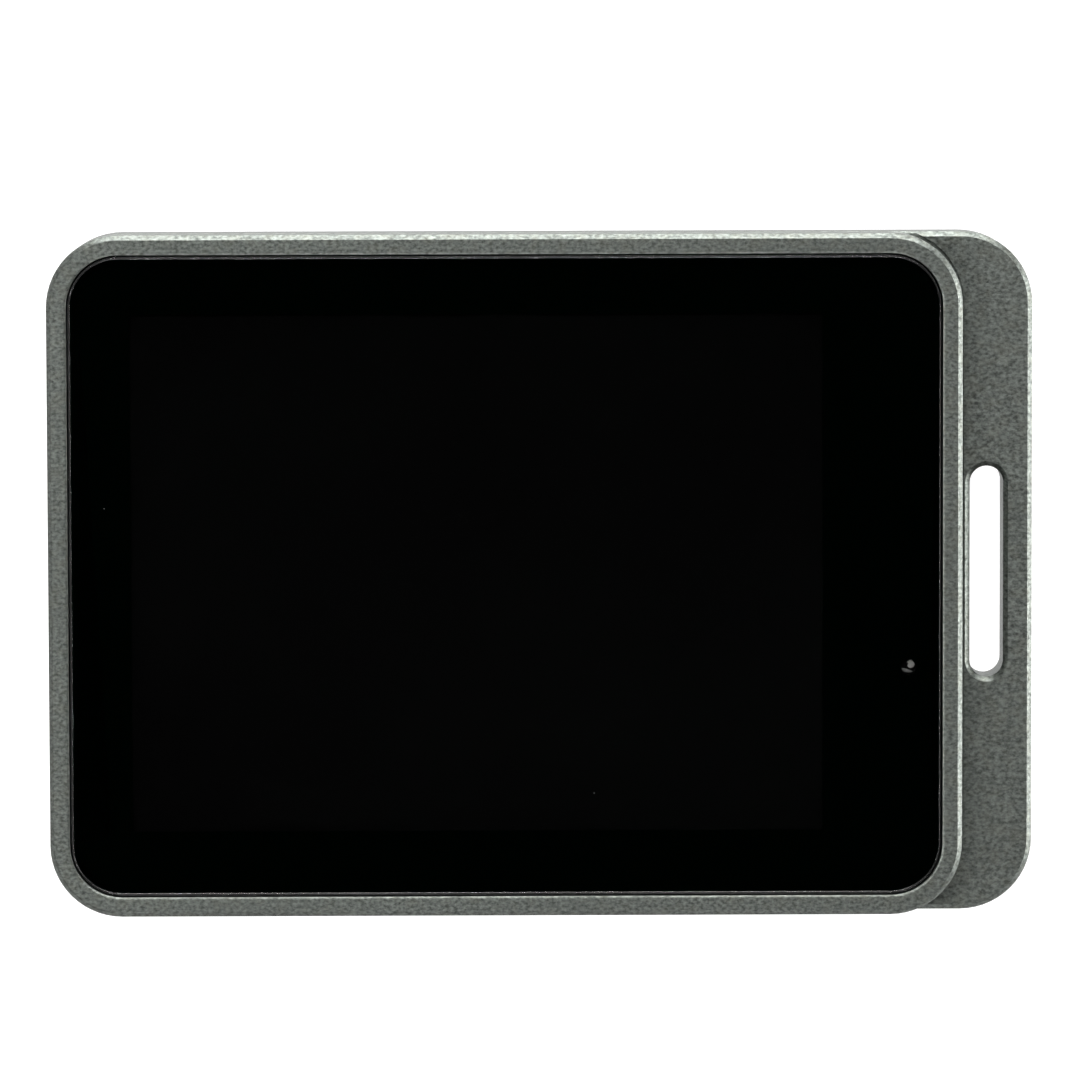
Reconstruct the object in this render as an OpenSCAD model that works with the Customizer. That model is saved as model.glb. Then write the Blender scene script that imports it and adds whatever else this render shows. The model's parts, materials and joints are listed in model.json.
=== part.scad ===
// Pocket touch-screen organiser with a two-part metal case and a strap slot.
// It lies on its back: +X is the strap end, +Z faces out of the screen, and the
// origin is the middle of the back face. All sizes are in millimetres.

/* [Case] */
// Length of the front frame along X
front_len = 76.1; // [76:0.1:78]
// How far the rear shell runs on past the front frame
tail_len = 6; // [5.9:0.1:8]
// Width of the case along Y
case_w = 56.9; // [56.8:0.1:58]
// Thickness of the front frame
front_h = 3.4; // [3.4:0.05:3.8]
// Thickness of the rear shell
rear_h = 5; // [5:0.1:6]
// Radius of the case's corners in plan
corner_r = 6; // [5.5:0.1:6.2]
// Chamfer along the outer edges of the case
edge_chamfer = 0.4; // [0.2:0.05:0.5]
// Wall of the front frame around the glass
frame_wall = 1.65; // [1.6:0.05:1.7]
// Wall of the rear shell
shell_wall = 1.5; // [1.45:0.05:1.6]
// Floor of the rear shell
shell_floor = 0.8; // [0.7:0.05:0.9]

/* [Strap slot] */
// Clear width of the slot along X
slot_w = 2.8; // [2.4:0.05:2.9]
// Clear length of the slot along Y
slot_len = 17.7; // [12:0.1:24]
// Distance from the slot's middle to the strap end of the case
slot_inset = 3.8; // [3.7:0.05:3.9]

/* [Display] */
// Length of the screen's active area along X
active_len = 57.6; // [57:0.1:57.8]
// Width of the screen's active area along Y
active_w = 43.2; // [42:0.1:44]
// Black border between the frame and the active area, at the end away from the strap
border_left = 5.23; // [5.15:0.01:5.25]
// How far the active area sits off the case's centre line
active_y = 0.2; // [0:0.05:0.3]
// Thickness of the cover glass
glass_t = 1; // [0.9:0.05:1]
// Gap between the glass and the frame
glass_gap = 0.11; // [0.1:0.01:0.2]

/* [Side keys] */
// Place of the power key along X
power_x = 20; // [18.5:0.1:20.5]
// Place of the volume-up key along X
volume_up_x = 8.5; // [8:0.1:9]
// Place of the volume-down key along X
volume_down_x = -0.5; // [-1:0.1:0]
// Length of the power key
power_key_len = 8; // [7:0.1:8.5]
// Length of each volume key
volume_key_len = 7; // [6:0.1:7.4]
// Height of every key
key_h = 2; // [1.6:0.1:2.2]
// How far a key travels when it is pressed
key_travel = 0.25; // [0.15:0.05:0.3]

/* [Power and sound] */
// Width of the charging port's metal shell
port_w = 8.94; // [8.9:0.01:9]
// Height of the charging port's metal shell
port_h = 3.16; // [3.1:0.01:3.26]
// Thickness of the battery cell
cell_t = 3.2; // [2.5:0.1:3.2]
// Number of sound holes beside the charging port
sound_holes = 5; // [3:1:5]

/* [Hidden] */
$fn = 64;

// Overlap that lets a cut pass cleanly through a face
cut = 0.5;

// Overlap that makes two solids one
join = 0.1;

// Keeps the two end arcs of a pill apart
pill_slack = 0.01;

// Ends of the case, X
x_left = -(front_len + tail_len) / 2;
x_right = -x_left;
x_step = x_left + front_len;
half_w = case_w / 2;

// Levels, Z
z_seam = rear_h;
z_top = rear_h + front_h;
web_t = 0.4;
z_web = z_seam - web_t;
rim_t = 0.1;
z_glass = z_top - rim_t - glass_t;
bond_t = 0.1;
ink_t = 0.04;
z_ledge = z_glass - bond_t;
z_ink = z_glass - ink_t;
touch_t = 0.2;
z_touch = z_ink - touch_t;
sheet_t = 0.45;
z_cell = z_touch - 2 * sheet_t;
z_tray = z_seam + 0.05;
tray_t = 0.2;

// Plan outlines, each as [x0, y0, x1, y1]
rear_box = [x_left, -half_w, x_right, half_w];
front_box = [x_left, -half_w, x_step, half_w];
cavity_box = inset([x_left, -half_w, x_step, half_w], shell_wall) + [0, 0, -0.2, 0];
cavity_r = corner_r - shell_wall;
spigot_gap = 0.1;
mouth_flare = 0.25;
mouth_fall = 0.09;
seam_chamfer = 0.15;
relief_w = 0.28;
relief_d = 0.25;
glass_chamfer = [0.1, 0.2];
bead_gap = 0.02;
bead_drop = 0.4;
ink_inset = 0.05;
opening_box = inset(front_box, frame_wall);
opening_r = corner_r - frame_wall;
glass_box = inset(opening_box, glass_gap);
glass_r = opening_r - glass_gap;
ledge_w = 0.8;
ledge_box = inset(opening_box, ledge_w);
ledge_r = 2.2;
touch_box = inset(ledge_box, 0.2);

// Screen module, its short border away from the driver end, and the active area
module_len = 69.2;
module_w = 50;
short_border = 2.8;
active_x0 = opening_box[0] + border_left;
active_box = [active_x0, active_y - active_w / 2, active_x0 + active_len, active_y + active_w / 2];
module_x0 = active_x0 - short_border;
module_x1 = module_x0 + module_len;
module_box = [module_x0, active_y - module_w / 2, module_x1, active_y + module_w / 2];
module_r = 1;
cell_box = inset(module_box, 0.5);
driver_ledge = 3.5;

// Ribbons down to the board
ribbon_t = 0.1;
ribbon_room = 0.4;
window_reach = 0.8;
ribbon_rise = 0.6;
ribbon_x = (module_x1 + ledge_box[2]) / 2;
ribbon_z = z_web - 0.15;
display_ribbon_y = [active_y - 9, active_y + 9];
touch_ribbon_y = [13, 19];

// Ambient light sensor under the wide border
sensor_spot = [cell_box[2] - 1.15, active_y - 7.95];
sensor_window_r = 0.7;

// Main board
board_t = 0.8;
z_board = 2.2;
z_mid = z_board + board_t / 2;
board_x0 = cavity_box[0] + 0.4;
board_x1 = -7.5;
board_y0 = -half_w + 2.9;
board_y1 = half_w - 1.9;
board_r = 0.8;
corner_notch = 5;
arm_x1 = 26.8;
arm_overlap = 2;
arm_y1 = board_y0 + 6.4;
connector_x = board_x1 - 1.5;

// Case screws: their centres sit inside the cavity's corner arcs
post_r = 1.9;
post_inset = cavity_r - 1.7;
post_z0 = shell_floor + 1.1;
screw_r = 0.78;
thread_r = 0.8;
screw_hole_r = 0.9;
screw_seat_r = 1.6;
screw_seat_h = 0.7;
screw_head_r = 1.5;
screw_head_h = 0.65;
screw_head_sink = 0.05;
screw_socket_r = 0.65;
screw_socket_h = 0.5;
screw_tip_gap = 0.3;
case_screw_spots = [
    for (x = [cavity_box[0] + post_inset, cavity_box[2] - post_inset])
        for (y = [cavity_box[1] + post_inset, cavity_box[3] - post_inset])
            [x, y]
];

// Board screws
boss_r = 1.5;
board_screw_r = 0.68;
board_thread_r = 0.7;
board_thread_end = 0.1;
board_head_r = 1.2;
board_head_h = 0.5;
board_socket_r = 0.55;
board_socket_h = 0.3;
board_screw_len = 1.9;
board_screw_spots = [[-31.5, 23], [-16.5, 24], [-28, -23], [24.6, board_y0 + 3.9]];

// Parts that hang from the board's lower face
shield_box = [-29, -6, -13, 8];
shield_h = 1.2;
shield_t = 0.15;
shield_r = 0.4;
processor_box = [-26, -4, -16, 6];
memory_box = [-27, -17, -19, -10];
power_box = [-16, -16, -12, -12];
coil_box = [-16, -10.5, -13, -7.5];
chip_h = 0.8;
coil_h = 1;
capacitor_rows = [[-27, 11.5], [-27, 14], [-27, -20], [8, arm_y1 - 1.3]];
capacitor = [1, 0.5, 0.5];
capacitors_per_row = 6;

// Battery
tape_t = 0.15;
cell_x0 = -1.6;
cell_x1 = 27.5;
cell_y0 = arm_y1 + 0.6;
cell_y1 = 24.4;
pouch_r = 1.2;
pouch_chamfer = 0.5;
tape_inset = [2, 3];
terrace_len = 2.8;
terrace_t = 0.2;
terrace_inset = [1.6, 0.2];
z_terrace = shell_floor + 1.6;
guard_y0 = 4;
guard_w = 2.4;
guard_t = 0.6;
guard_chip = [1.4, 3, 1.2];
guard_chip_y = [8, 13];
lead_r = 0.4;
lead_x = [connector_x + 0.5, cell_x0 - 1];
lead_y = [23.6, 22.2];
lead_z = z_terrace + 1.2;
lead_clearance = 0.03;
plug_x = [connector_x - 3.4, connector_x + 0.9];
plug_side = 1.3;
plug_h = 1.3;

// Charging port
port_wall = 0.3;
port_depth = 7.3;
port_mouth_flare = 0.25;
port_x0 = x_left + 0.2;
port_mouth_gap = 0.18;
tongue_x0 = port_x0 + 0.8;
tongue_base_t = 1.6;
contact_inset = 0.4;
tongue_half = [3.35, 0.35];
contact = [3.6, 0.3, 0.03];
contact_pitch = 0.5;
contacts_per_face = 12;

// Sound parts
sound_y = -14;
sound_pitch = 1.9;
sound_r = 0.55;
mic_hole_r = 0.45;
speaker_box = [x_left + 2, sound_y - 7, x_left + 10.4, sound_y + 7];
speaker_z = [z_mid - 1.5, z_mid + 1.3];
speaker_cap = [3.4, 0.15];
chamber_half = [4.2, 0.7];
chamber_depth = 0.6;
mesh_half = [5.2, 1.2];
mesh_t = 0.15;
gasket_half = [5.4, 1.3];
gasket_bore = [4.6, 0.8];
mic_y = 10;
mic_r = 1.5;
mic_len = 1.5;
mic_set_back = 0.8;
boot_half = 1.8;
boot_corner_r = 0.5;
boot_len = 2.1;
boot_hole_r = 0.5;

// Side keys, Y
dish_depth = 0.35;
dish_margin = 0.5;
key_gap = 0.1;
key_face_y = -half_w + 0.05;
flange_y = [-half_w + shell_wall + 0.08, -half_w + 2];
nub_y = -half_w + 2.3;
switch_y = [-half_w + 3.2, -half_w + 6];
switch_len = 4.6;
switch_h = 1.8;
plunger_half = [0.8, 0.45];
plunger_reach = 0.4;
plunger_gap = 0.1;
plunger_end_gap = 0.15;
flange_extra = [1, 0.8];
cap_chamfer = 0.2;
cap_reach = 0.2;
nub_r = 0.7;

// A plan outline drawn in by d on every side
function inset(box, d) = box + [d, d, -d, -d];

// Unit vector from a to b
function unit(a, b) = (b - a) / norm(b - a);

// Point i of a path moved sideways by off, mitred where the path bends
function mitred(path, i, off) =
    let (
        last = len(path) - 1,
        before = i == 0 ? unit(path[0], path[1]) : unit(path[i - 1], path[i]),
        after = i == last ? before : unit(path[i], path[i + 1]),
        sum = before + after
    )
    path[i] + off * [-sum[1], sum[0]] / (1 + before * after);

// Cross-section from lo to hi, drawn in by low at the bottom and by high over a
// height of fall at the top; a negative value flares it out instead
function section(lo, hi, z, low, high, fall) = concat(
    [[lo + low, z[0]], [hi - low, z[0]]],
    low == 0 ? [] : [[hi, z[0] + abs(low)]],
    high == 0 ? [] : [[hi, z[1] - fall]],
    [[hi - high, z[1]], [lo + high, z[1]]],
    high == 0 ? [] : [[lo, z[1] - fall]],
    low == 0 ? [] : [[lo, z[0] + abs(low)]]
);

// The half of that cross-section on one side of a corner's centre
function half_section(r, z, low, high, fall) = concat(
    [[0, z[0]], [r - low, z[0]]],
    low == 0 ? [] : [[r, z[0] + abs(low)]],
    high == 0 ? [] : [[r, z[1] - fall]],
    [[r - high, z[1]], [0, z[1]]]
);

// Centres of a box's corner arcs along one side, once if they coincide
function arc_centres(lo, hi, r) = hi - lo > 2 * r + 0.001 ? [lo + r, hi - r] : [(lo + hi) / 2];

// Rounded rectangle
module outline(box, r) {
    xs = arc_centres(box[0], box[2], r);
    ys = arc_centres(box[1], box[3], r);
    if (len(xs) == 2)
        translate([xs[0], box[1]])
            square([xs[1] - xs[0], box[3] - box[1]]);
    if (len(ys) == 2)
        translate([box[0], ys[0]])
            square([box[2] - box[0], ys[1] - ys[0]]);
    for (x = xs, y = ys)
        translate([x, y])
            circle(r);
}

// Rounded plate between two levels
module plate(box, r, z) {
    translate([0, 0, z[0]])
        linear_extrude(z[1] - z[0])
            outline(box, r);
}

// Square-cornered block between two levels
module block(box, z) {
    translate([box[0], box[1], z[0]])
        cube([box[2] - box[0], box[3] - box[1], z[1] - z[0]]);
}

// Rounded plate with chamfered or flared edges, at 45 degrees unless fall says otherwise
module bevelled_plate(box, r, z, low, high, fall = undef) {
    drop = is_undef(fall) ? abs(high) : fall;
    xs = arc_centres(box[0], box[2], r);
    ys = arc_centres(box[1], box[3], r);
    if (len(xs) == 2)
        translate([xs[0], 0, 0])
            rotate([90, 0, 90])
                linear_extrude(xs[1] - xs[0])
                    polygon(section(box[1], box[3], z, low, high, drop));
    if (len(ys) == 2)
        translate([0, ys[1], 0])
            rotate([90, 0, 0])
                linear_extrude(ys[1] - ys[0])
                    polygon(section(box[0], box[2], z, low, high, drop));
    for (x = xs, y = ys)
        translate([x, y, 0])
            rotate_extrude()
                polygon(half_section(r, z, low, high, drop));
}

// Puts a plate's X, Y, Z along the case's Y, Z, X, for the end walls
module along_x() {
    rotate([90, 0, 90])
        children();
}

// Puts a plate's X, Y, Z along the case's X, Z, -Y, for the key side
module along_key_side() {
    rotate([90, 0, 0])
        children();
}

// Flat ribbon of even thickness along a path in X and Z
module ribbon(path, y) {
    last = len(path) - 1;
    translate([0, y[1], 0])
        rotate([90, 0, 0])
            linear_extrude(y[1] - y[0])
                polygon(concat(
                    [for (i = [0 : last]) mitred(path, i, ribbon_t / 2)],
                    [for (i = [last : -1 : 0]) mitred(path, i, -ribbon_t / 2)]
                ));
}

// Pill along X of a given length and height, centred on a key
module key_pill(x, length, height, y) {
    along_key_side()
        plate(
            [x - length / 2, z_mid - height / 2, x + length / 2, z_mid + height / 2],
            height / 2 - pill_slack,
            [-y[1], -y[0]]
        );
}

// Shallow dish in the key side, from one key's end to another's
module key_dish(x0, x1) {
    h = key_h / 2 + dish_margin;
    along_key_side()
        bevelled_plate(
            [x0 - dish_margin, z_mid - h, x1 + dish_margin, z_mid + h],
            h,
            [half_w - dish_depth, half_w + cut],
            0,
            0
        );
}

// Hole in the key side that a key slides in
module key_hole(x, length) {
    key_pill(x, length + 2 * key_gap, key_h + 2 * key_gap, [-half_w - cut, -half_w + shell_wall + cut]);
}

module strap_slot() {
    x = x_right - slot_inset;
    bevelled_plate(
        [x - slot_w / 2, -slot_len / 2, x + slot_w / 2, slot_len / 2],
        slot_w / 2,
        [0, z_seam],
        -edge_chamfer,
        -edge_chamfer
    );
}

// Fine groove in the tail, along the foot of the front frame
module foot_relief() {
    difference() {
        plate(inset(front_box, -relief_w), corner_r + relief_w, [z_seam - relief_d, z_seam + cut]);
        plate(front_box, corner_r, [z_seam - relief_d - cut, z_seam + 2 * cut]);
    }
}

module port_mouth() {
    w = port_w / 2 + port_mouth_gap;
    h = port_h / 2 + port_mouth_gap;
    along_x()
        bevelled_plate([-w, z_mid - h, w, z_mid + h], h, [x_left, x_left + shell_wall + cut],
            -port_mouth_flare, 0);
}

module sound_hole(y, r) {
    translate([x_left - cut, y, z_mid])
        rotate([0, 90, 0])
            cylinder(h = shell_wall + 2 * cut, r = r);
}

module rear_shell() {
    color("#6f736d")
        difference() {
            union() {
                difference() {
                    bevelled_plate(rear_box, corner_r, [0, z_seam], edge_chamfer, edge_chamfer);
                    plate(cavity_box, cavity_r, [shell_floor, z_seam + cut]);
                }
                for (spot = case_screw_spots)
                    translate([spot[0], spot[1], shell_floor - join])
                        cylinder(h = post_z0 - shell_floor + join, r = post_r);
            }
            for (spot = case_screw_spots)
                translate([spot[0], spot[1], 0]) {
                    translate([0, 0, -cut])
                        cylinder(h = post_z0 + 2 * cut, r = screw_hole_r);
                    cylinder(h = screw_seat_h, r1 = screw_seat_r, r2 = screw_hole_r);
                }
            strap_slot();
            foot_relief();
            port_mouth();
            for (i = [0 : sound_holes - 1])
                sound_hole(sound_y + (i - (sound_holes - 1) / 2) * sound_pitch, sound_r);
            sound_hole(mic_y, mic_hole_r);
            key_dish(power_x - power_key_len / 2, power_x + power_key_len / 2);
            key_dish(volume_down_x - volume_key_len / 2, volume_up_x + volume_key_len / 2);
            key_hole(power_x, power_key_len);
            key_hole(volume_up_x, volume_key_len);
            key_hole(volume_down_x, volume_key_len);
        }
}

module front_frame() {
    window = [ribbon_x - window_reach, ledge_box[2]];
    color("#74786f")
        difference() {
            union() {
                bevelled_plate(front_box, corner_r, [z_seam, z_top], seam_chamfer, edge_chamfer);
                plate(inset(cavity_box, spigot_gap), cavity_r - spigot_gap, [z_web, z_seam + join]);
                for (spot = case_screw_spots)
                    translate([spot[0], spot[1], post_z0])
                        cylinder(h = z_seam - post_z0, r = post_r);
                for (spot = board_screw_spots)
                    translate([spot[0], spot[1], z_board + board_t])
                        cylinder(h = z_seam - z_board - board_t, r = boss_r);
            }
            bevelled_plate(opening_box, opening_r, [z_ledge, z_top], 0, -mouth_flare, mouth_fall);
            plate(ledge_box, ledge_r, [z_seam, z_ledge + cut]);
            for (y = [display_ribbon_y, touch_ribbon_y])
                block([window[0], y[0] - ribbon_room, window[1], y[1] + ribbon_room],
                    [z_web - cut, z_seam + cut]);
            for (spot = case_screw_spots)
                translate([spot[0], spot[1], post_z0 - cut])
                    cylinder(h = z_web - post_z0 + cut, r = thread_r);
            for (spot = board_screw_spots)
                translate([spot[0], spot[1], z_board])
                    cylinder(h = z_web - z_board - board_thread_end, r = board_thread_r);
        }
}

module case_screw() {
    difference() {
        union() {
            translate([0, 0, screw_head_sink])
                cylinder(h = screw_head_h, r1 = screw_head_r, r2 = screw_r);
            translate([0, 0, screw_head_h])
                cylinder(h = z_web - screw_tip_gap - screw_head_h, r = screw_r);
        }
        translate([0, 0, -cut])
            cylinder(h = screw_socket_h + cut, r = screw_socket_r, $fn = 6);
    }
}

module case_screws() {
    color("#3b3d3f")
        for (spot = case_screw_spots)
            translate([spot[0], spot[1], 0])
                case_screw();
}

module cover_glass() {
    color([0.05, 0.06, 0.07, 0.4])
        bevelled_plate(glass_box, glass_r, [z_glass, z_glass + glass_t], glass_chamfer[0], glass_chamfer[1]);
}

module ink_border() {
    color("#050505")
        difference() {
            plate(inset(glass_box, ink_inset), glass_r - ink_inset, [z_ink, z_glass]);
            block(active_box, [z_ink - cut, z_glass + cut]);
            translate([sensor_spot[0], sensor_spot[1], z_ink - cut])
                cylinder(h = ink_t + 2 * cut, r = sensor_window_r);
        }
}

// Ring of black adhesive under the glass, with a bead that stands in the gap around it
module glass_adhesive() {
    z_bead = z_glass + glass_t - bead_drop;
    color("#1b1c1e")
        difference() {
            plate(inset(opening_box, bead_gap), opening_r - bead_gap, [z_ledge, z_bead]);
            plate(inset(glass_box, -bead_gap), glass_r + bead_gap, [z_ink, z_top]);
            plate(ledge_box, ledge_r, [z_ledge - cut, z_ink + cut]);
        }
}

module touch_sensor() {
    color([0.3, 0.33, 0.35, 0.35])
        plate(touch_box, ledge_r - 0.2, [z_touch, z_ink]);
}

module touch_flex() {
    z = z_touch - ribbon_t / 2;
    color("#b5651d")
        ribbon([
            [cell_box[2] - driver_ledge + 0.6, z],
            [ribbon_x, z],
            [ribbon_x, ribbon_z],
            [board_x1 + 0.8, ribbon_z],
            [board_x1 - 0.6, z_board + board_t + ribbon_rise],
            [connector_x - 1.8, z_board + board_t + ribbon_rise]
        ], touch_ribbon_y);
}

module lcd_cell() {
    color("#0d0e10")
        union() {
            block(cell_box, [z_cell, z_cell + sheet_t]);
            block(cell_box + [0, 0, -driver_ledge, 0], [z_cell + sheet_t, z_touch]);
        }
}

module display_driver_chip() {
    x = cell_box[2] - driver_ledge + 0.3;
    color("#2a2c30")
        block([x, active_y - 7.5, x + 1.1, active_y + 7.5], [z_cell + sheet_t, z_cell + sheet_t + 0.3]);
}

module backlight_guide() {
    color("#e9edf0")
        block(inset(cell_box, 0.1) + [0, 0, -driver_ledge + 1, 0], [z_tray + tray_t, z_cell - 0.05]);
}

module backlight_frame() {
    ribbon_gap = display_ribbon_y + [-ribbon_room, ribbon_room];
    color("#c9ccd0")
        difference() {
            plate(module_box, module_r, [z_tray, z_cell + 0.7]);
            plate(inset(module_box, tray_t), module_r - tray_t, [z_tray + tray_t, z_cell + 1]);
            block([module_x1 - 1, ribbon_gap[0], module_x1 + 1, ribbon_gap[1]],
                [z_cell + sheet_t - 0.1, z_cell + 1]);
        }
}

module led_strip() {
    x = cell_box[2] - driver_ledge + 1.2;
    leds = 6;
    pitch = 7.4;
    led = [0.7, 3, 0.6];
    half_len = 23;
    z = z_tray + tray_t;
    color("#f4e9b8")
        union() {
            block([x, active_y - half_len, x + 1.8, active_y + half_len], [z, z + 0.1]);
            for (i = [0 : leds - 1])
                translate([x, active_y + (i - (leds - 1) / 2) * pitch - led[1] / 2, z])
                    cube(led);
        }
}

module display_flex() {
    z = z_cell + sheet_t + ribbon_t / 2;
    color("#a85a1a")
        ribbon([
            [cell_box[2] - driver_ledge + 1.7, z],
            [ribbon_x, z],
            [ribbon_x, ribbon_z],
            [board_x1 + 0.8, ribbon_z],
            [board_x1 - 0.6, z_board + board_t + ribbon_rise],
            [connector_x - 1.8, z_board + board_t + ribbon_rise]
        ], display_ribbon_y);
}

module light_sensor() {
    package_w = 1.4;
    package_t = 0.15;
    height = 0.32;
    lens_r = 0.55;
    color("#9aa0a3")
        translate([sensor_spot[0], sensor_spot[1], z_cell + sheet_t + ribbon_t])
            union() {
                translate([-package_w / 2, -package_w / 2, 0])
                    cube([package_w, package_w, package_t]);
                intersection() {
                    translate([0, 0, height - lens_r])
                        sphere(r = lens_r);
                    translate([0, 0, package_t / 2])
                        cylinder(h = height, r = lens_r);
                }
            }
}

// Shape of the board: a square-cornered body and an arm beside the battery
module board_outline() {
    difference() {
        union() {
            outline([board_x0, board_y0, board_x1, board_y1], board_r);
            outline([board_x1 - arm_overlap, board_y0, arm_x1, arm_y1], board_r);
        }
        for (y = [board_y0 - 1, board_y1 - corner_notch])
            translate([board_x0 - 1, y])
                square(corner_notch + 1);
        translate([board_x0 - 1, -port_w / 2 - 0.15])
            square([port_x0 + port_depth - board_x0 + 1.2, port_w + 0.3]);
        translate([board_x0 - 1, speaker_box[1] - 0.3])
            square([speaker_box[2] - board_x0 + 1.3, speaker_box[3] - speaker_box[1] + 0.6]);
        translate([board_x0 - 1, mic_y - 2.2])
            square([3.6, 4.4]);
        for (x = [power_x, volume_up_x, volume_down_x])
            translate([x - switch_len / 2 - 0.1, board_y0 - 1])
                square([switch_len + 0.2, switch_y[1] - board_y0 + 1.1]);
        for (spot = board_screw_spots)
            translate(spot)
                circle(0.8);
    }
}

module main_board() {
    color("#1f5a38")
        translate([0, 0, z_board])
            linear_extrude(board_t)
                board_outline();
}

module board_screw() {
    difference() {
        union() {
            translate([0, 0, z_board - board_head_h])
                cylinder(h = board_head_h, r = board_head_r);
            translate([0, 0, z_board - board_head_h])
                cylinder(h = board_head_h + board_screw_len, r = board_screw_r);
        }
        translate([0, 0, z_board - board_head_h - cut])
            cylinder(h = board_socket_h + cut, r = board_socket_r, $fn = 6);
    }
}

module board_screws() {
    color("#8c8f93")
        for (spot = board_screw_spots)
            translate([spot[0], spot[1], 0])
                board_screw();
}

module processor_shield() {
    color("#b9bcc0")
        difference() {
            plate(shield_box, shield_r, [z_board - shield_h, z_board]);
            plate(inset(shield_box, shield_t), shield_r - shield_t,
                [z_board - shield_h + shield_t, z_board + cut]);
        }
}

module processor_chip() {
    color("#26282b")
        block(processor_box, [z_board - chip_h, z_board]);
}

module memory_chip() {
    color("#26282b")
        block(memory_box, [z_board - chip_h, z_board]);
}

module power_chip() {
    color("#303236")
        block(power_box, [z_board - chip_h, z_board]);
}

// Rows of capacitors under the board and one coil beside the power chip
module board_components() {
    color("#8a7a5c")
        union() {
            for (row = capacitor_rows, i = [0 : capacitors_per_row - 1])
                translate([row[0] + 2 * i * capacitor[0], row[1], z_board - capacitor[2]])
                    cube(capacitor);
            block(coil_box, [z_board - coil_h, z_board]);
        }
}

// Connector on the board's upper face, open towards +X for its ribbon
module ribbon_connector(y) {
    length = 4.2;
    height = 1.1;
    mouth = [ribbon_rise - ribbon_t, ribbon_rise + ribbon_t];
    z = z_board + board_t;
    difference() {
        block([connector_x - length, y[0] - 1, connector_x, y[1] + 1], [z, z + height]);
        block([connector_x - 2, y[0] - 0.1, connector_x + 1, y[1] + 0.1], [z + mouth[0], z + mouth[1]]);
    }
}

module display_connector() {
    color("#e6e1d3")
        ribbon_connector(display_ribbon_y);
}

module touch_connector() {
    color("#e6e1d3")
        ribbon_connector(touch_ribbon_y);
}

// Pill-shaped bar along X, drawn in by d from the outside of the charging port
module port_pill(d, x) {
    w = port_w / 2 - d;
    h = port_h / 2 - d;
    along_x()
        plate([-w, z_mid - h, w, z_mid + h], h - pill_slack, x);
}

module usb_port_shell() {
    color("#c3c6c9")
        difference() {
            port_pill(0, [port_x0, port_x0 + port_depth]);
            port_pill(port_wall, [port_x0 - cut, port_x0 + port_depth + cut]);
        }
}

module usb_port_tongue() {
    back = port_x0 + port_depth - 0.1;
    front = back - tongue_base_t;
    color("#1d1f21")
        union() {
            port_pill(port_wall, [front, back]);
            block([tongue_x0, -tongue_half[0], front + join, tongue_half[0]],
                [z_mid - tongue_half[1], z_mid + tongue_half[1]]);
        }
}

// Plated contacts on both faces of the tongue
module usb_contacts() {
    color("#c9a24a")
        for (z = [z_mid + tongue_half[1], z_mid - tongue_half[1] - contact[2]])
            for (i = [0 : contacts_per_face - 1])
                translate([
                    tongue_x0 + contact_inset,
                    (i - (contacts_per_face - 1) / 2) * contact_pitch - contact[1] / 2,
                    z
                ])
                    cube(contact);
}

module battery_cell() {
    z0 = shell_floor + tape_t;
    color("#9ea2a6")
        union() {
            bevelled_plate([cell_x0, cell_y0, cell_x1, cell_y1], pouch_r, [z0, z0 + cell_t],
                pouch_chamfer, pouch_chamfer);
            block([
                cell_x0 - terrace_len,
                cell_y0 + terrace_inset[0],
                cell_x0 + pouch_chamfer,
                cell_y1 - terrace_inset[1]
            ], [z_terrace, z_terrace + terrace_t]);
        }
}

module battery_tape() {
    color("#d8d2c0")
        block([
            cell_x0 + tape_inset[0],
            cell_y0 + tape_inset[1],
            cell_x1 - tape_inset[0],
            cell_y1 - tape_inset[1]
        ], [shell_floor, shell_floor + tape_t]);
}

module battery_protection_board() {
    z = z_terrace + terrace_t;
    x = cell_x0 - terrace_len + 0.2;
    color("#2d6b46")
        union() {
            block([x, guard_y0, x + guard_w, cell_y1 - terrace_inset[1]], [z, z + guard_t]);
            for (y = guard_chip_y)
                translate([x + (guard_w - guard_chip[0]) / 2, y, z])
                    cube(guard_chip);
        }
}

module battery_lead(y) {
    translate([lead_x[0], y, lead_z])
        rotate([0, 90, 0])
            cylinder(h = lead_x[1] - lead_x[0], r = lead_r);
}

module battery_lead_positive() {
    color("#b3261e")
        battery_lead(lead_y[0]);
}

module battery_lead_negative() {
    color("#161616")
        battery_lead(lead_y[1]);
}

module battery_connector() {
    z = z_board + board_t;
    color("#f0eee6")
        difference() {
            block([plug_x[0], lead_y[1] - plug_side, plug_x[1], lead_y[0] + plug_side], [z, z + plug_h]);
            for (y = lead_y)
                translate([lead_x[0], y, lead_z])
                    rotate([0, 90, 0])
                        cylinder(h = plug_x[1] - lead_x[0] + cut, r = lead_r + lead_clearance);
        }
}

// Upright rectangle in the port end, half as wide and half as high as given, through x
module port_end_block(half, x) {
    block([x[0], sound_y - half[0], x[1], sound_y + half[0]], [z_mid - half[1], z_mid + half[1]]);
}

module speaker() {
    color("#232426")
        difference() {
            union() {
                plate(speaker_box, 0.6, speaker_z);
                translate([(speaker_box[0] + speaker_box[2]) / 2, sound_y, speaker_z[1] - join])
                    cylinder(h = speaker_cap[1] + join, r = speaker_cap[0]);
            }
            port_end_block(chamber_half, [speaker_box[0] - cut, speaker_box[0] + chamber_depth]);
        }
}

module speaker_gasket() {
    x = [x_left + shell_wall + mesh_t, speaker_box[0]];
    color("#111213")
        difference() {
            port_end_block(gasket_half, x);
            port_end_block(gasket_bore, [x[0] - cut, x[1] + cut]);
        }
}

module speaker_mesh() {
    x = x_left + shell_wall;
    color("#3a3c3e")
        port_end_block(mesh_half, [x, x + mesh_t]);
}

module microphone() {
    color("#a9acb0")
        translate([x_left + shell_wall + mic_set_back, mic_y, z_mid])
            rotate([0, 90, 0])
                cylinder(h = mic_len, r = mic_r);
}

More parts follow.
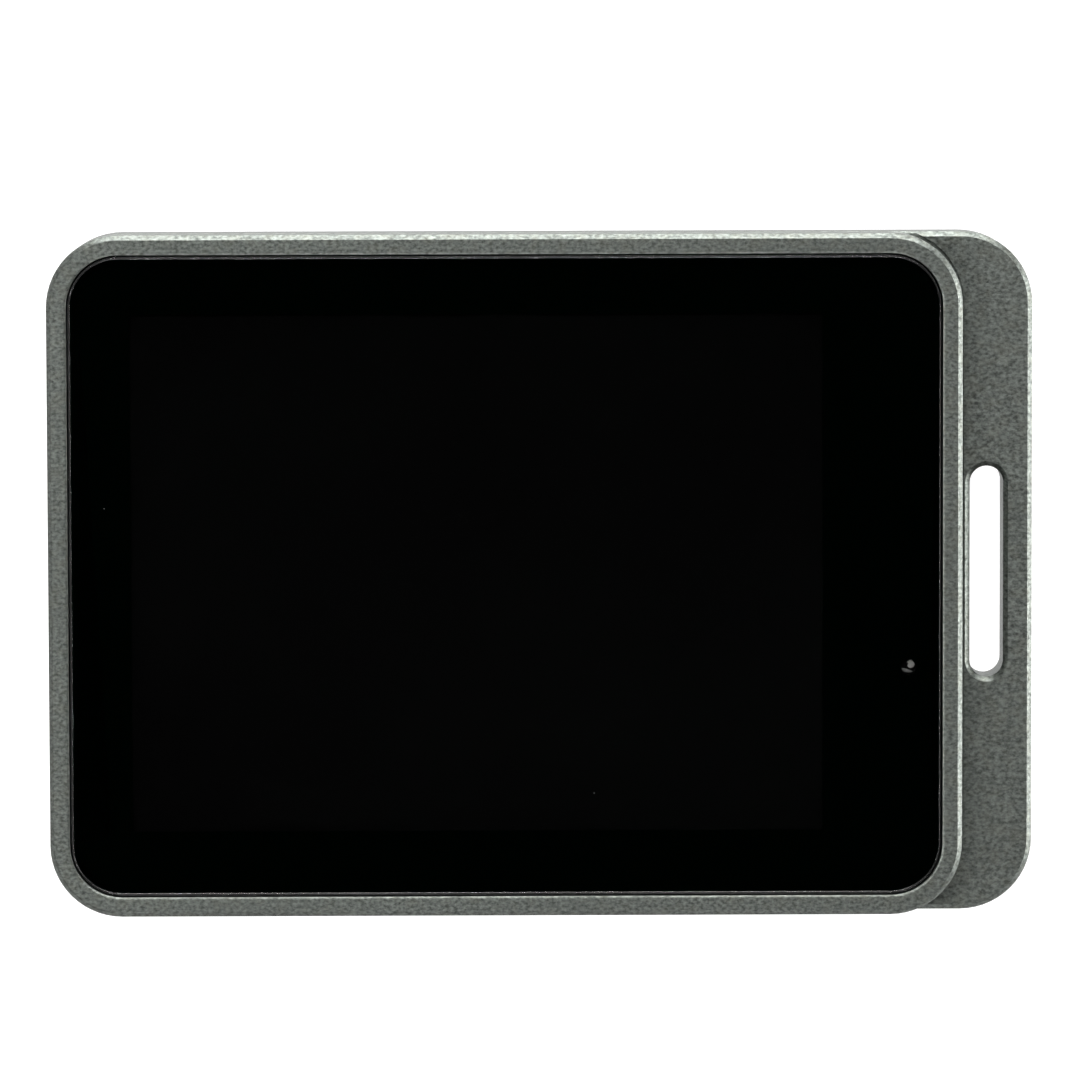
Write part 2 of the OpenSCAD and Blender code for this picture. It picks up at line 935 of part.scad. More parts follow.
module microphone_boot() {
    x = x_left + shell_wall;
    box = [mic_y - boot_half, z_mid - boot_half, mic_y + boot_half, z_mid + boot_half];
    color("#151617")
        difference() {
            along_x()
                plate(box, boot_corner_r, [x, x + boot_len]);
            translate([x - cut, mic_y, z_mid])
                rotate([0, 90, 0])
                    cylinder(h = mic_set_back + 2 * cut, r = boot_hole_r);
            translate([x + mic_set_back, mic_y, z_mid])
                rotate([0, 90, 0])
                    cylinder(h = boot_len, r = mic_r);
        }
}

// Side-push switch sunk into the board's edge
module side_switch(x) {
    well = plunger_half + [plunger_gap, plunger_gap];
    well_y = [switch_y[0] - cut, switch_y[0] + plunger_reach + key_travel + plunger_end_gap];
    difference() {
        block([x - switch_len / 2, switch_y[0], x + switch_len / 2, switch_y[1]],
            [z_mid - switch_h / 2, z_mid + switch_h / 2]);
        block([x - well[0], well_y[0], x + well[0], well_y[1]], [z_mid - well[1], z_mid + well[1]]);
    }
}

module switch_plunger(x) {
    block([x - plunger_half[0], nub_y, x + plunger_half[0], switch_y[0] + plunger_reach],
        [z_mid - plunger_half[1], z_mid + plunger_half[1]]);
}

module power_switch() {
    color("#c9cbcd")
        side_switch(power_x);
}

module volume_up_switch() {
    color("#c9cbcd")
        side_switch(volume_up_x);
}

module volume_down_switch() {
    color("#c9cbcd")
        side_switch(volume_down_x);
}

module power_switch_plunger() {
    color("#1a1b1c")
        switch_plunger(power_x);
}

module volume_up_switch_plunger() {
    color("#1a1b1c")
        switch_plunger(volume_up_x);
}

module volume_down_switch_plunger() {
    color("#1a1b1c")
        switch_plunger(volume_down_x);
}

// Key cap, the flange that keeps it in the case and the nub that meets the switch
module side_key(x, length) {
    h = key_h / 2;
    union() {
        along_key_side()
            bevelled_plate(
                [x - length / 2, z_mid - h, x + length / 2, z_mid + h],
                h,
                [-flange_y[0] - cap_reach, -key_face_y],
                0,
                cap_chamfer
            );
        key_pill(x, length + flange_extra[0], key_h + flange_extra[1], flange_y);
        translate([x, nub_y, z_mid])
            rotate([90, 0, 0])
                cylinder(h = nub_y - flange_y[1] + join, r = nub_r);
    }
}

module power_button() {
    color("#7b7f79")
        side_key(power_x, power_key_len);
}

module volume_up_button() {
    color("#7b7f79")
        side_key(volume_up_x, volume_key_len);
}

module volume_down_button() {
    color("#7b7f79")
        side_key(volume_down_x, volume_key_len);
}

rear_shell();
front_frame();
case_screws();
cover_glass();
ink_border();
glass_adhesive();
touch_sensor();
touch_flex();
lcd_cell();
display_driver_chip();
backlight_guide();
backlight_frame();
led_strip();
display_flex();
light_sensor();
main_board();
board_screws();
processor_shield();
processor_chip();
memory_chip();
power_chip();
board_components();
display_connector();
touch_connector();
usb_port_shell();
usb_port_tongue();
usb_contacts();
battery_cell();
battery_tape();
battery_protection_board();
battery_lead_positive();
battery_lead_negative();
battery_connector();
speaker();
speaker_gasket();
speaker_mesh();
microphone();
microphone_boot();
power_switch();
volume_up_switch();
volume_down_switch();
power_switch_plunger();
volume_up_switch_plunger();
volume_down_switch_plunger();
power_button();
volume_up_button();
volume_down_button();
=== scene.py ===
import json
import math

import bmesh
import bpy
from mathutils import Matrix, Vector


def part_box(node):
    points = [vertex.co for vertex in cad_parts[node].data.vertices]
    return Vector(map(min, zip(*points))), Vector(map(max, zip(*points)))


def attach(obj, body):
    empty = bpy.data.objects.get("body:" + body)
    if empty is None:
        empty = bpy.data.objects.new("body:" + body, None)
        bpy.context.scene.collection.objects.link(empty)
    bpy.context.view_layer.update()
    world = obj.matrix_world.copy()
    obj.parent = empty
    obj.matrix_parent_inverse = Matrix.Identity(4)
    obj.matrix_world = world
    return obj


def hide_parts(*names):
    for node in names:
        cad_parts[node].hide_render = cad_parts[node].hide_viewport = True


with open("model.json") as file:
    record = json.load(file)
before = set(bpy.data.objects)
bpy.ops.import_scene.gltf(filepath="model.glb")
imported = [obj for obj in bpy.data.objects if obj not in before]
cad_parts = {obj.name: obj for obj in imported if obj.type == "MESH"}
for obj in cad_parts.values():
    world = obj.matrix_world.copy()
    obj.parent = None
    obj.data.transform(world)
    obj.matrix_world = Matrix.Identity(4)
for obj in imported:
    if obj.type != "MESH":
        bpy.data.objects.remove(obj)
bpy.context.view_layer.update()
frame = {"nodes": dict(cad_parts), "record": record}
NODES = frame["nodes"]
MM = 0.001

# ---------------------------------------------------------------- camera

VIEW_DISTANCE = 0.600
VIEW_LENS = 240.5
VIEW_TILT = math.radians(4.64)
VIEW_ROLL = math.radians(0.17)
VIEW_YAW = math.radians(0.2)
VIEW_AIM = Vector((2.88 * MM, 3.04 * MM))


def make_camera():
    """Looks down at the screen from a little way towards +Y."""
    low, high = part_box("front_frame")
    middle = Vector(((low.x + high.x) / 2, (low.y + high.y) / 2, high.z))
    turn = (
        Matrix.Rotation(-VIEW_YAW, 4, "Y")
        @ Matrix.Rotation(-VIEW_TILT, 4, "X")
        @ Matrix.Rotation(-VIEW_ROLL, 4, "Z")
    )
    place = middle + turn.to_3x3() @ Vector((VIEW_AIM.x, VIEW_AIM.y, VIEW_DISTANCE))
    data = bpy.data.cameras.new("camera")
    data.lens = VIEW_LENS
    data.sensor_width = 36
    data.clip_start = 0.01
    camera = bpy.data.objects.new("camera", data)
    camera.matrix_world = Matrix.Translation(place) @ turn
    bpy.context.scene.collection.objects.link(camera)
    bpy.context.scene.camera = camera


# ---------------------------------------------------------------- node helpers


class Graph:
    """A material's node tree, with short calls that add nodes and join them."""

    def __init__(self, name):
        self.material = bpy.data.materials.new(name)
        self.material.use_nodes = True
        self.tree = self.material.node_tree
        self.tree.nodes.clear()
        self.output = self.tree.nodes.new("ShaderNodeOutputMaterial")

    def add(self, kind, **settings):
        node = self.tree.nodes.new(kind)
        for key, value in settings.items():
            setattr(node, key, value)
        return node

    def link(self, source, target):
        self.tree.links.new(source, target)

    def place(self, stretch=(1, 1, 1)):
        """The object's own coordinates, in metres, stretched along each axis."""
        coords = self.add("ShaderNodeTexCoord").outputs["Object"]
        if tuple(stretch) == (1, 1, 1):
            return coords
        mapping = self.add("ShaderNodeMapping")
        mapping.inputs["Scale"].default_value = stretch
        self.link(coords, mapping.inputs["Vector"])
        return mapping.outputs["Vector"]

    def noise(self, size, detail=2.0, rough=0.5, stretch=(1, 1, 1)):
        """Noise whose lumps are about size metres across."""
        node = self.add("ShaderNodeTexNoise")
        node.inputs["Scale"].default_value = 1 / size
        node.inputs["Detail"].default_value = detail
        node.inputs["Roughness"].default_value = rough
        self.link(self.place(stretch), node.inputs["Vector"])
        return node.outputs["Fac"]

    def cells(self, size):
        """Voronoi node whose cells are about size metres across; its Color is random in each cell."""
        node = self.add("ShaderNodeTexVoronoi")
        node.inputs["Scale"].default_value = 1 / size
        self.link(self.place(), node.inputs["Vector"])
        return node

    def red(self, colour):
        """The red channel of a colour."""
        node = self.add("ShaderNodeSeparateColor")
        self.link(colour, node.inputs["Color"])
        return node.outputs["Red"]

    def part(self, vector, axis):
        """One axis, X, Y or Z, of a vector."""
        node = self.add("ShaderNodeSeparateXYZ")
        self.link(vector, node.inputs["Vector"])
        return node.outputs[axis]

    def spread(self, value, low, high, start=0.0, end=1.0):
        """Maps start..end to low..high."""
        node = self.add("ShaderNodeMapRange")
        node.inputs["From Min"].default_value = start
        node.inputs["From Max"].default_value = end
        node.inputs["To Min"].default_value = low
        node.inputs["To Max"].default_value = high
        self.link(value, node.inputs["Value"])
        return node.outputs["Result"]

    def ramp(self, value, stops):
        """Colour ramp with (place, (r, g, b)) stops."""
        node = self.add("ShaderNodeValToRGB")
        band = node.color_ramp
        while len(band.elements) < len(stops):
            band.elements.new(0.5)
        for element, (place, colour) in zip(band.elements, stops):
            element.position = place
            element.color = (*colour, 1)
        self.link(value, node.inputs["Fac"])
        return node.outputs["Color"]

    def mix(self, factor, a, b, mode="MIX"):
        """Mixes two colours; each is a socket or an (r, g, b)."""
        node = self.add("ShaderNodeMix", data_type="RGBA", blend_type=mode)
        for value, socket in ((factor, node.inputs[0]), (a, node.inputs[6]), (b, node.inputs[7])):
            if isinstance(value, (int, float)):
                socket.default_value = value
            elif isinstance(value, tuple):
                socket.default_value = (*value, 1)
            else:
                self.link(value, socket)
        return node.outputs[2]

    def maths(self, operation, a, b):
        node = self.add("ShaderNodeMath", operation=operation)
        for value, socket in ((a, node.inputs[0]), (b, node.inputs[1])):
            if isinstance(value, (int, float)):
                socket.default_value = value
            else:
                self.link(value, socket)
        return node.outputs["Value"]

    def bump(self, height, depth, strength):
        """Bump normal from a height of 0..1 over depth metres."""
        node = self.add("ShaderNodeBump")
        node.inputs["Strength"].default_value = strength
        node.inputs["Distance"].default_value = depth
        self.link(height, node.inputs["Height"])
        return node.outputs["Normal"]

    def rubbed_edges(self, radius):
        """1 on the corners of a body, fading to 0 on its flat faces."""
        rounded = self.add("ShaderNodeBevel", samples=4)
        rounded.inputs["Radius"].default_value = radius
        flat = self.add("ShaderNodeNewGeometry").outputs["Normal"]
        dot = self.add("ShaderNodeVectorMath", operation="DOT_PRODUCT")
        self.link(rounded.outputs["Normal"], dot.inputs[0])
        self.link(flat, dot.inputs[1])
        return self.spread(dot.outputs["Value"], 1.0, 0.0, 0.8, 0.99)

    def shader(self, kind, links=None, **values):
        """Shader node; values are constants and links are sockets, by input name."""
        shader = self.add("ShaderNodeBsdf" + kind)
        for name, value in values.items():
            socket = shader.inputs[name.replace("_", " ")]
            socket.default_value = (*value, 1) if isinstance(value, tuple) else value
        for name, socket in (links or {}).items():
            self.link(socket, shader.inputs[name])
        return shader.outputs["BSDF"]

    def blend(self, factor, a, b):
        """Mixes two shaders."""
        node = self.add("ShaderNodeMixShader")
        self.link(factor, node.inputs[0])
        self.link(a, node.inputs[1])
        self.link(b, node.inputs[2])
        return node.outputs["Shader"]

    def finish(self, shader):
        self.link(shader, self.output.inputs["Surface"])
        return self.material

    def surface(self, links=None, **values):
        """A material that is one Principled shader."""
        return self.finish(self.shader("Principled", links, **values))


# ---------------------------------------------------------------- materials

BARE_METAL = (0.62, 0.62, 0.60)
EDGE_WEAR = 0.12
POLISHED_ROUGH = (0.05, 0.10)
GROUND_ROUGH = 0.55
GROUND_GLOSS = 0.035
FLECK_EVERY = 4.5 * MM
FLECK_GREY = (0.35, 0.37, 0.36)


def times(colour, factor):
    """A colour made darker or lighter, no channel over 1."""
    return tuple(min(c * factor, 1) for c in colour)


def blasted_metal(name, base):
    """Bead-blasted, anodised aluminium: fine sparkling pits, faint clouding, rubbed edges."""
    g = Graph(name)
    pits = g.noise(0.30 * MM, detail=2.5, rough=0.55, stretch=(0.85, 1.2, 1))
    dust = g.noise(0.12 * MM, detail=2)
    cloud = g.noise(8 * MM, detail=3)
    tone = g.ramp(pits, [(0.3, times(base, 0.42)), (0.7, times(base, 1.70))])
    tone = g.mix(g.spread(cloud, 0.0, 0.3, 0.35, 0.7), tone, times(base, 0.8))
    warmth = g.noise(0.9 * MM, detail=1)
    warm = (base[0] * 1.2, base[1] * 1.05, base[2] * 0.85)
    tone = g.mix(g.spread(warmth, 0.0, 0.16, 0.45, 0.7), tone, warm)
    scuffs = g.spread(g.noise(1.1 * MM, detail=4), 0.0, 1.0, 0.5, 0.72)
    rub = g.maths("MULTIPLY", g.rubbed_edges(0.12 * MM), scuffs)
    rub = g.maths("MULTIPLY", rub, EDGE_WEAR)
    tone = g.mix(rub, tone, BARE_METAL)
    height = g.maths("ADD", pits, g.maths("MULTIPLY", dust, 0.35))
    rough = g.spread(dust, 0.40, 0.52, 0.3, 0.7)
    return g.surface(
        {
            "Base Color": tone,
            "Roughness": g.maths("SUBTRACT", rough, g.maths("MULTIPLY", rub, 0.12)),
            "Normal": g.bump(height, 0.03 * MM, 0.6),
        },
        Metallic=1.0,
    )


def plain_metal(name, base, rough, brushed=(1, 1, 1)):
    """Sheet or turned metal with a fine brushed grain."""
    g = Graph(name)
    grain = g.noise(0.25 * MM, detail=3, stretch=brushed)
    wear = g.noise(2.5 * MM, detail=4)
    tone = g.ramp(wear, [(0.35, times(base, 0.85)), (0.65, times(base, 1.08))])
    return g.surface(
        {
            "Base Color": tone,
            "Roughness": g.spread(grain, rough - 0.08, rough + 0.1, 0.3, 0.7),
            "Normal": g.bump(grain, 0.005 * MM, 0.4),
        },
        Metallic=1.0,
    )


def moulded(name, base, rough=0.5, grain=0.2 * MM):
    """Moulded plastic or rubber with a spark-eroded texture."""
    g = Graph(name)
    fine = g.noise(grain, detail=3)
    cloud = g.noise(4 * MM, detail=2)
    tone = g.ramp(cloud, [(0.3, times(base, 0.85)), (0.7, times(base, 1.12))])
    return g.surface(
        {
            "Base Color": tone,
            "Roughness": g.spread(fine, rough - 0.07, rough + 0.1, 0.3, 0.7),
            "Normal": g.bump(fine, 0.01 * MM, 0.35),
        },
    )


def clear_sheet(name, gloss, dusty):
    """Clear pane or film that shows what lies behind, with a mirror skin and a ground edge.

    gloss is the share of light that the skin mirrors when seen square on. A face counts as
    edge where its normal leans away from straight up, but isn't level.
    """
    g = Graph(name)
    facing = g.add("ShaderNodeLayerWeight")
    facing.inputs["Blend"].default_value = 0.5
    rise = g.maths("POWER", facing.outputs["Facing"], 5)
    smear = g.noise(9 * MM, detail=4, rough=0.6)
    polished = g.spread(smear, *POLISHED_ROUGH, 0.45, 0.8)
    upright = g.part(g.add("ShaderNodeNewGeometry").outputs["Normal"], "Z")
    leaning = g.spread(upright, 1.0, 0.0, 0.88, 0.97)
    ground = g.maths("MULTIPLY", leaning, g.spread(upright, 0.0, 1.0, 0.50, 0.65))
    rough = g.maths("MAXIMUM", polished, g.maths("MULTIPLY", ground, GROUND_ROUGH))
    skin = g.shader("Glossy", {"Roughness": rough}, Color=(1.0, 1.0, 1.0))
    edge_gloss = g.maths("MULTIPLY", ground, GROUND_GLOSS)
    glare = g.maths("MAXIMUM", g.spread(rise, gloss, 1.0), edge_gloss)
    pane = g.blend(glare, g.shader("Transparent"), skin)
    if not dusty:
        return g.finish(pane)
    cell = g.cells(FLECK_EVERY)
    rare = g.spread(g.red(cell.outputs["Color"]), 0.0, 1.0, 0.90, 0.91)
    speck = g.spread(cell.outputs["Distance"], 1.0, 0.0, 0.007, 0.011)
    fleck = g.shader("Diffuse", Color=FLECK_GREY)
    return g.finish(g.blend(g.maths("MULTIPLY", rare, speck), pane, fleck))


def lightless(name, dark, light, grain):
    """Print or glue that swallows nearly all light, with a fine grain."""
    g = Graph(name)
    fine = g.noise(grain)
    return g.surface(
        {
            "Base Color": g.ramp(fine, [(0.3, dark), (0.7, light)]),
            "Roughness": g.spread(fine, 0.55, 0.7, 0.3, 0.7),
            "Normal": g.bump(fine, 0.002 * MM, 0.2),
        },
        Specular_IOR_Level=0.0,
    )


def dark_panel(name):
    """Unlit screen: a very dark grey in faint patches, with painted shade that makes it darkest along
    its top edge and a little darker along its bottom edge.
    """
    g = Graph(name)
    patch = g.noise(26 * MM, detail=1)
    tone = g.ramp(patch, [(0.35, (0.0015, 0.0015, 0.0015)), (0.65, (0.00175, 0.0019, 0.0018))])
    low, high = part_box("lcd_cell")
    # Painted shade: the screen's colour is darkened towards its top edge, and a little towards its
    # bottom edge, for how the light falls across it.
    along = g.spread(g.part(g.place(), "Y"), 0.0, 1.0, low.y, high.y)
    painted_shade = g.ramp(along, [(0.05, (0.93,) * 3), (0.45, (1.0,) * 3), (0.95, (0.72,) * 3)])
    tone = g.mix(1.0, tone, painted_shade, "MULTIPLY")
    return g.surface(
        {"Base Color": tone, "Roughness": g.spread(g.noise(0.05 * MM), 0.6, 0.75, 0.3, 0.7)},
        Specular_IOR_Level=0.0,
    )


CASE_GREY = (0.110, 0.120, 0.1105)
KEY_GREY = times(CASE_GREY, 1.1)
INK_DARK = (0.00002, 0.0002, 0.0001)
INK_LIGHT = (0.00006, 0.0004, 0.0002)
GLUE_DARK = (0.0004, 0.0005, 0.0005)
GLUE_LIGHT = (0.0012, 0.0015, 0.0014)
SLOT_MATERIALS = {
    "rear_metal": lambda n: blasted_metal(n, CASE_GREY),
    "front_metal": lambda n: blasted_metal(n, CASE_GREY),
    "key_metal": lambda n: blasted_metal(n, KEY_GREY),
    "screw_steel": lambda n: plain_metal(n, (0.30, 0.30, 0.31), 0.32),
    "board_screw_steel": lambda n: plain_metal(n, (0.62, 0.62, 0.63), 0.3),
    "cover_glass": lambda n: clear_sheet(n, 0.010, dusty=True),
    "black_ink": lambda n: lightless(n, INK_DARK, INK_LIGHT, 0.1 * MM),
    "black_adhesive": lambda n: lightless(n, GLUE_DARK, GLUE_LIGHT, 0.3 * MM),
    "touch_film": lambda n: clear_sheet(n, 0.002, dusty=False),
    "ribbon": lambda n: moulded(n, (0.45, 0.2, 0.05), 0.35),
    "lcd_glass": dark_panel,
    "silicon": lambda n: moulded(n, (0.03, 0.03, 0.033), 0.5),
    "light_guide": lambda n: moulded(n, (0.8, 0.82, 0.84), 0.3),
    "tray_steel": lambda n: plain_metal(n, (0.6, 0.6, 0.61), 0.35, (1, 8, 1)),
    "led_white": lambda n: moulded(n, (0.8, 0.74, 0.45), 0.3),
    "sensor_lens": lambda n: moulded(n, (0.55, 0.57, 0.6), 0.15),
    "board_green": lambda n: moulded(n, (0.02, 0.16, 0.07), 0.35),
    "shield_steel": lambda n: plain_metal(n, (0.6, 0.61, 0.62), 0.3, (8, 1, 1)),
    "components": lambda n: moulded(n, (0.4, 0.32, 0.2), 0.5),
    "connector_plastic": lambda n: moulded(n, (0.75, 0.7, 0.58), 0.5),
    "port_steel": lambda n: plain_metal(n, (0.62, 0.63, 0.64), 0.28, (1, 1, 6)),
    "port_plastic": lambda n: moulded(n, (0.012, 0.012, 0.012), 0.45),
    "contact_gold": lambda n: plain_metal(n, (0.85, 0.6, 0.22), 0.25),
    "battery_foil": lambda n: plain_metal(n, (0.6, 0.61, 0.62), 0.4),
    "white_tape": lambda n: moulded(n, (0.75, 0.72, 0.64), 0.7),
    "red_lead": lambda n: moulded(n, (0.5, 0.02, 0.015), 0.45),
    "black_lead": lambda n: moulded(n, (0.015, 0.015, 0.015), 0.45),
    "speaker_plastic": lambda n: moulded(n, (0.02, 0.02, 0.02), 0.5),
    "foam": lambda n: moulded(n, (0.02, 0.02, 0.02), 0.9, 0.3 * MM),
    "mesh_cloth": lambda n: plain_metal(n, (0.16, 0.16, 0.165), 0.4),
    "microphone_can": lambda n: plain_metal(n, (0.58, 0.59, 0.6), 0.3),
    "black_rubber": lambda n: moulded(n, (0.015, 0.015, 0.015), 0.75),
    "switch_steel": lambda n: plain_metal(n, (0.62, 0.62, 0.63), 0.3),
    "plunger_plastic": lambda n: moulded(n, (0.02, 0.02, 0.02), 0.5),
}
LOOKS = {name: make(name + "_look") for name, make in SLOT_MATERIALS.items()}


def dress_nodes():
    """Gives every CAD node its slot's detailed material."""
    for part in frame["record"]["subparts"]:
        node = NODES[part["node"]]
        if not node.material_slots:
            node.data.materials.append(None)
        for slot in node.material_slots:
            slot.material = LOOKS[part["material_slot"]]


# How wide each visible part's edges are rounded
SOFTENED = {
    "rear_shell": 0.05 * MM,
    "front_frame": 0.05 * MM,
    "cover_glass": 0.08 * MM,
    "case_screws": 0.03 * MM,
    "power_button": 0.06 * MM,
    "volume_up_button": 0.06 * MM,
    "volume_down_button": 0.06 * MM,
    "usb_port_shell": 0.04 * MM,
    "usb_port_tongue": 0.03 * MM,
}


def soften(node, width):
    """Rounds the sharp edges of a CAD node with modifiers, which leave its mesh as it is."""
    part = NODES[node]
    for face in part.data.polygons:
        face.use_smooth = True
    weld = part.modifiers.new("weld", "WELD")
    weld.merge_threshold = 0.0005 * MM
    flat = part.modifiers.new("flat", "DECIMATE")
    flat.decimate_type = "DISSOLVE"
    flat.angle_limit = math.radians(0.3)
    edge = part.modifiers.new("edge", "BEVEL")
    edge.width = width
    edge.segments = 2
    edge.limit_method = "ANGLE"
    edge.angle_limit = math.radians(30)
    edge.use_clamp_overlap = True
    normals = part.modifiers.new("normals", "WEIGHTED_NORMAL")
    normals.weight = 100


# ---------------------------------------------------------------- light sensor

SENSOR_STEPS = 64
SENSOR_BEVEL = 0.03 * MM
WELL_R = 0.60 * MM
DIE_R = 0.34 * MM
DIE_NOTCH = 0.5
DIE_NOTCH_WIDTH = 0.4
DIE_PLACE = (0.22 * MM, 0.20 * MM)
# Painted highlight: a grey crescent in the sensor's well stands for light on the well's lower wall; its
# size, place and tilt follow.
GLINT_HALF = 0.55 * MM
GLINT_UPPER = 0.10 * MM
GLINT_LOWER = 0.17 * MM
GLINT_PLACE = (-0.03 * MM, -0.35 * MM)
GLINT_TILT = math.radians(-13)
# Heights as a share of the package's, and how far the tops of the die and of the painted highlight
# crescent draw in
WELL_FLOOR = 0.35
DIE_TOP = 0.75
DIE_TOP_SCALE = 0.92
GLINT_TOP = 0.6
GLINT_TOP_SCALE = 0.85
# How much the painted highlight crescent thins towards +X
GLINT_TAPER = 0.65
SENSOR_BLACK = lightless("sensor_black", (0.001, 0.001, 0.001), (0.002, 0.002, 0.002), 0.1 * MM)
SENSOR_PALE = moulded("sensor_pale", (0.085, 0.085, 0.08), 0.5, 0.12 * MM)
# Grey of the painted highlight crescent in the sensor's well
SENSOR_GLINT_GREY = moulded("sensor_glint_grey", (0.035, 0.036, 0.034), 0.5, 0.12 * MM)


def stack(name, rings):
    """A closed solid through rings of points, each ring as long as the first, capped at both ends."""
    mesh = bmesh.new()
    loops = [[mesh.verts.new(point) for point in ring] for ring in rings]
    for lower, upper in zip(loops, loops[1:]):
        for i in range(len(lower)):
            j = (i + 1) % len(lower)
            mesh.faces.new((lower[i], lower[j], upper[j], upper[i]))
    mesh.faces.new(reversed(loops[0]))
    mesh.faces.new(loops[-1])
    bmesh.ops.recalc_face_normals(mesh, faces=mesh.faces)
    data = bpy.data.meshes.new(name)
    mesh.to_mesh(data)
    mesh.free()
    for face in data.polygons:
        face.use_smooth = len(face.vertices) == 4
    piece = bpy.data.objects.new(name, data)
    bpy.context.scene.collection.objects.link(piece)
    return piece


def sensor_ring(reach, z, square=0.0):
    """Closed ring at height z; square blends the circle of radius reach towards a square."""
    ring = []
    for i in range(SENSOR_STEPS):
        a = math.tau * i / SENSOR_STEPS
        corner = 1 / max(abs(math.cos(a)), abs(math.sin(a)))
        r = reach * (1 + square * (corner - 1))
        ring.append((r * math.cos(a), r * math.sin(a), z))
    return ring


def die_ring(scale, z):
    """Round die with a notch in its -X side."""
    ring = []
    for i in range(SENSOR_STEPS):
        a = math.tau * i / SENSOR_STEPS - math.pi
        r = DIE_R * scale * (1 - DIE_NOTCH * math.exp(-((a / DIE_NOTCH_WIDTH) ** 2)))
        ring.append((-r * math.cos(a), r * math.sin(a), z))
    return ring


def glint_ring(scale, z):
    """Crescent of painted highlight along the lower side of the sensor's well, thick at -X and thin at
    +X.
    """
    ring = []
    for i in range(SENSOR_STEPS):
        a = math.tau * i / SENSOR_STEPS
        bulge = GLINT_UPPER if a < math.pi else GLINT_LOWER
        fat = 1 - GLINT_TAPER * math.cos(a)
        ring.append((GLINT_HALF * scale * math.cos(a), bulge * scale * fat * math.sin(a), z))
    return ring


def make_sensor():
    """Ambient light sensor: a black package with a round well and the pale die, plus a grey crescent of
    painted highlight that stands for light falling on the well's lower side.
    """
    low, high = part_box("light_sensor")
    middle = (low + high) / 2
    half = (high.x - low.x) / 2
    rim = high.z - low.z
    floor = WELL_FLOOR * rim
    package = stack("sensor_package", [
        sensor_ring(half - SENSOR_BEVEL, 0, 1),
        sensor_ring(half, SENSOR_BEVEL, 1),
        sensor_ring(half, rim - SENSOR_BEVEL, 1),
        sensor_ring(half - SENSOR_BEVEL, rim, 1),
        sensor_ring(WELL_R, rim),
        sensor_ring(WELL_R - SENSOR_BEVEL, floor),
    ])
    die_top = DIE_TOP * rim
    die = stack("sensor_die", [
        die_ring(1, floor),
        die_ring(1, die_top - SENSOR_BEVEL),
        die_ring(DIE_TOP_SCALE, die_top),
    ])
    glint_top = GLINT_TOP * rim
    # Painted highlight: a grey crescent that stands for light falling on the well's lower wall
    painted_glint = stack("sensor_painted_glint", [
        glint_ring(1, floor),
        glint_ring(1, glint_top - SENSOR_BEVEL),
        glint_ring(GLINT_TOP_SCALE, glint_top),
    ])
    for piece, place, look in (
        (package, (0, 0), SENSOR_BLACK),
        (die, DIE_PLACE, SENSOR_PALE),
        (painted_glint, GLINT_PLACE, SENSOR_GLINT_GREY),
    ):
        piece.location = (middle.x + place[0], middle.y + place[1], low.z)
        piece.data.materials.append(look)
        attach(piece, "case")
    painted_glint.rotation_euler.z = GLINT_TILT
    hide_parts("light_sensor")


# ---------------------------------------------------------------- stage

FLOOR_HALF = 6.0
FLOOR_GLOW = 0.97
FLOOR_DROP = 0.02 * MM
SOFT_BOX_DISTANCE = 0.9
# Each light's azimuth, elevation, (width, height) and brightness
SOFT_BOXES = {
    "over_top": (90, 52, (0.50, 0.40), 14.6),
    "over_bottom": (270, 52, (0.40, 0.40), 5.8),
    "over_left": (180, 52, (0.40, 0.40), 8.0),
    "low_top": (85, 5, (1.00, 0.10), 40.0),
    "low_strap_end": (2, 5, (0.80, 0.10), 40.0),
}
# The horizon's band: its brightness and the heights, in degrees, between which it fades out
HORIZON_GLOW = 0.9
HORIZON_FADE = (2, 6)


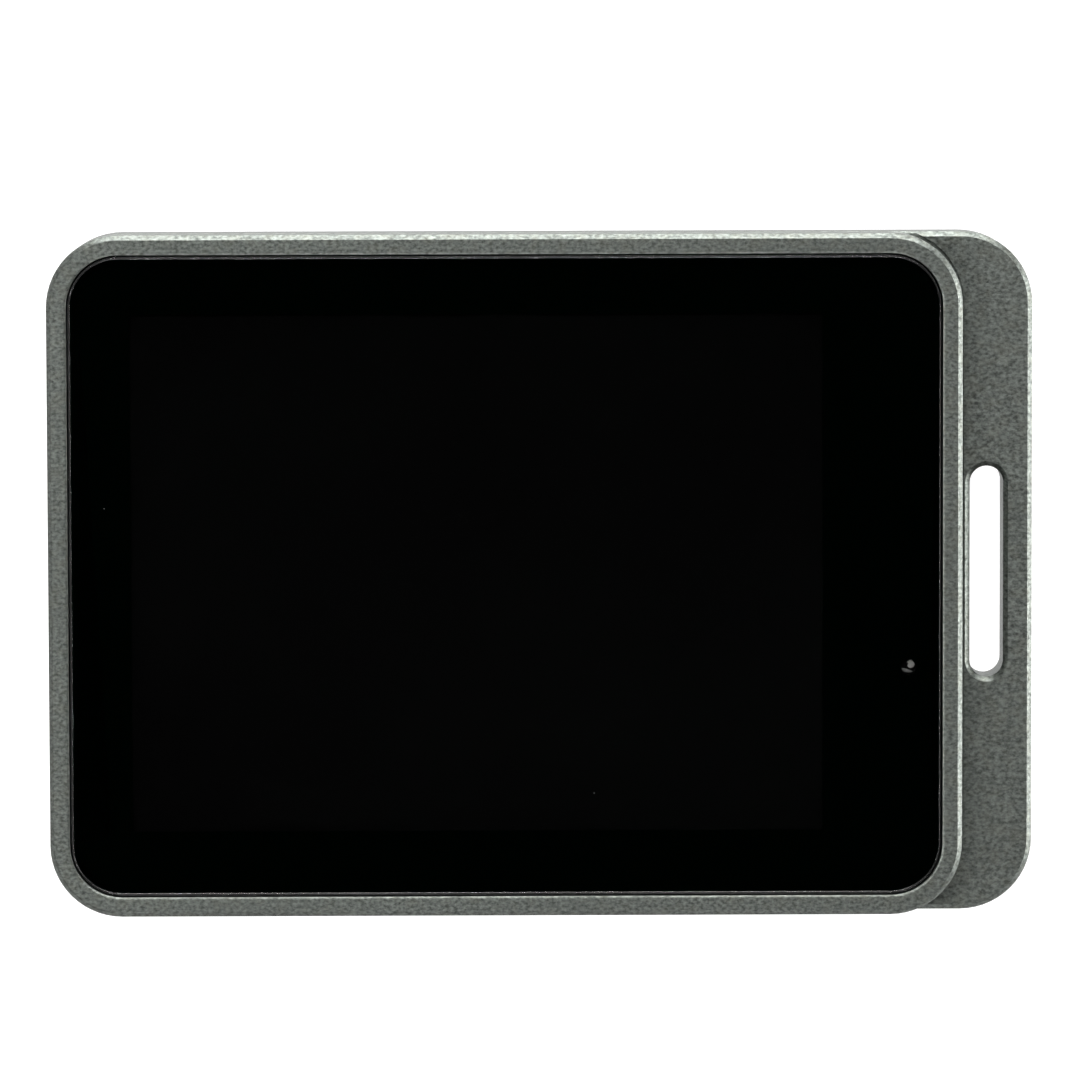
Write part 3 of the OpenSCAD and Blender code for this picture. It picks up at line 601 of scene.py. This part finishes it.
def make_floor():
    """Pale lightbox table: it glows, so shadows on it stay faint, and it is see-through from below."""
    half = FLOOR_HALF
    corners = [(-half, -half, 0), (half, -half, 0), (half, half, 0), (-half, half, 0)]
    mesh = bpy.data.meshes.new("floor")
    mesh.from_pydata(corners, [], [(0, 1, 2, 3)])
    floor = bpy.data.objects.new("floor", mesh)
    floor.location.z = -FLOOR_DROP
    g = Graph("floor_look")
    tone = g.ramp(g.noise(3 * MM), [(0.3, (0.29, 0.29, 0.29)), (0.7, (0.31, 0.31, 0.31))])
    top = g.shader(
        "Principled",
        {"Base Color": tone},
        Roughness=0.9,
        Specular_IOR_Level=0.1,
        Emission_Color=(1.0, 1.0, 1.0),
        Emission_Strength=FLOOR_GLOW,
    )
    below = g.add("ShaderNodeNewGeometry").outputs["Backfacing"]
    mesh.materials.append(g.finish(g.blend(below, top, g.shader("Transparent"))))
    bpy.context.scene.collection.objects.link(floor)


def soft_box(name, azimuth, elevation, size, radiance):
    """Soft light SOFT_BOX_DISTANCE away; azimuth is measured from +X towards +Y."""
    data = bpy.data.lights.new(name, "AREA")
    data.shape = "RECTANGLE"
    data.size = size[0]
    data.size_y = size[1]
    data.energy = radiance * math.pi * size[0] * size[1]
    light = bpy.data.objects.new(name, data)
    a = math.radians(azimuth)
    e = math.radians(elevation)
    toward = Vector((math.cos(a) * math.cos(e), math.sin(a) * math.cos(e), math.sin(e)))
    place = toward * SOFT_BOX_DISTANCE
    light.location = place
    light.rotation_euler = (-place).to_track_quat("-Z", "Y").to_euler()
    bpy.context.scene.collection.objects.link(light)


def make_lights():
    """Overhead lights for the flats, and low flat ones that pick out the chamfers but not the glass."""
    for name, box in SOFT_BOXES.items():
        soft_box(name, *box)


def make_world():
    """Dark overhead, with a pale band at the horizon that the floor fades into."""
    world = bpy.data.worlds.new("world")
    world.use_nodes = True
    tree = world.node_tree
    coords = tree.nodes.new("ShaderNodeTexCoord")
    split = tree.nodes.new("ShaderNodeSeparateXYZ")
    band = tree.nodes.new("ShaderNodeMapRange")
    band.inputs["From Min"].default_value = math.sin(math.radians(HORIZON_FADE[0]))
    band.inputs["From Max"].default_value = math.sin(math.radians(HORIZON_FADE[1]))
    band.inputs["To Min"].default_value = HORIZON_GLOW
    band.inputs["To Max"].default_value = 0.0
    tree.links.new(coords.outputs["Generated"], split.inputs["Vector"])
    tree.links.new(split.outputs["Z"], band.inputs["Value"])
    tree.links.new(band.outputs["Result"], tree.nodes["Background"].inputs["Strength"])
    tree.nodes["Background"].inputs["Color"].default_value = (1, 1, 1, 1)
    bpy.context.scene.world = world
    bpy.context.scene.view_settings.view_transform = "Standard"


make_camera()
dress_nodes()
for node_name, edge_width in SOFTENED.items():
    soften(node_name, edge_width)
make_sensor()
make_floor()
make_lights()
make_world()
